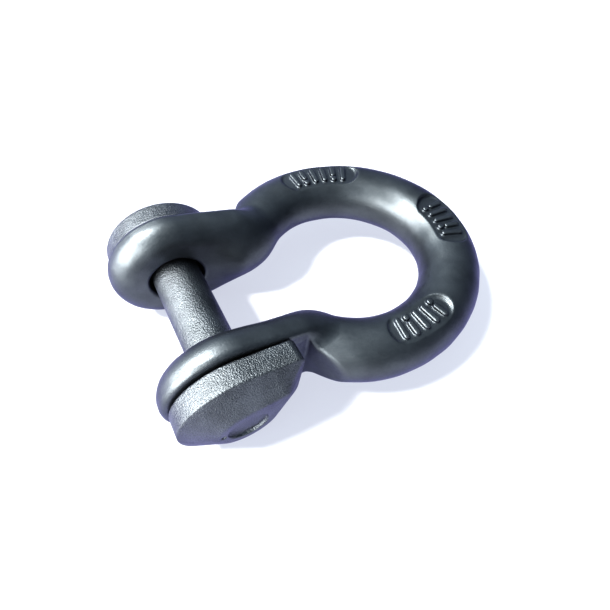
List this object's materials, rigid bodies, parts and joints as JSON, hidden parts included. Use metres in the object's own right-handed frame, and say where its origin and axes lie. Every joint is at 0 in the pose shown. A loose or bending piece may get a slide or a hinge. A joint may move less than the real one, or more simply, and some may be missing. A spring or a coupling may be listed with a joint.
{
  "type": "bow shackle",
  "caption": "Forged bow shackle with a round bar bow, flat eyes, a headed bolt across the jaw, a conical nut and its set screw.",
  "frame": {"origin": "centre of the bounding box in plan, level with the lowest point of the eyes; the bolt's axis is 54.85 mm from it along -X and 25.5 mm above it", "axes": "+X from the bolt to the crown of the bow, Y along the bolt (head at -Y, nut at +Y), +Z square to the bow's plane"},
  "size_m": [0.1606, 0.1172, 0.051],
  "materials": {
    "forged_bow": "satin forged steel, fine pits",
    "cast_bolt": "coarse blasted grain",
    "cast_nut": "coarse blasted grain",
    "dark_screw": "black oxide"
  },
  "bodies": {
    "bow": {"bow_body": "forged_bow"},
    "bolt": {"bolt": "cast_bolt"},
    "nut": {"nut": "cast_nut"},
    "set_screw": {"set_screw": "dark_screw"}
  },
  "joints": [
    {"name": "bolt_draw", "type": "slide", "parent": "bow", "child": "bolt", "axis": [0, -1, 0], "range_m": [0, 0.088]},
    {"name": "nut_turn", "type": "hinge", "parent": "bow", "child": "nut", "pos_m": [-0.05485, 0.042, 0.0255], "axis": [0, 1, 0], "continuous": true},
    {"name": "set_screw_out", "type": "slide", "parent": "nut", "child": "set_screw", "axis": [-0.9397, 0, -0.342], "range_m": [0, 0.01]}
  ]
}
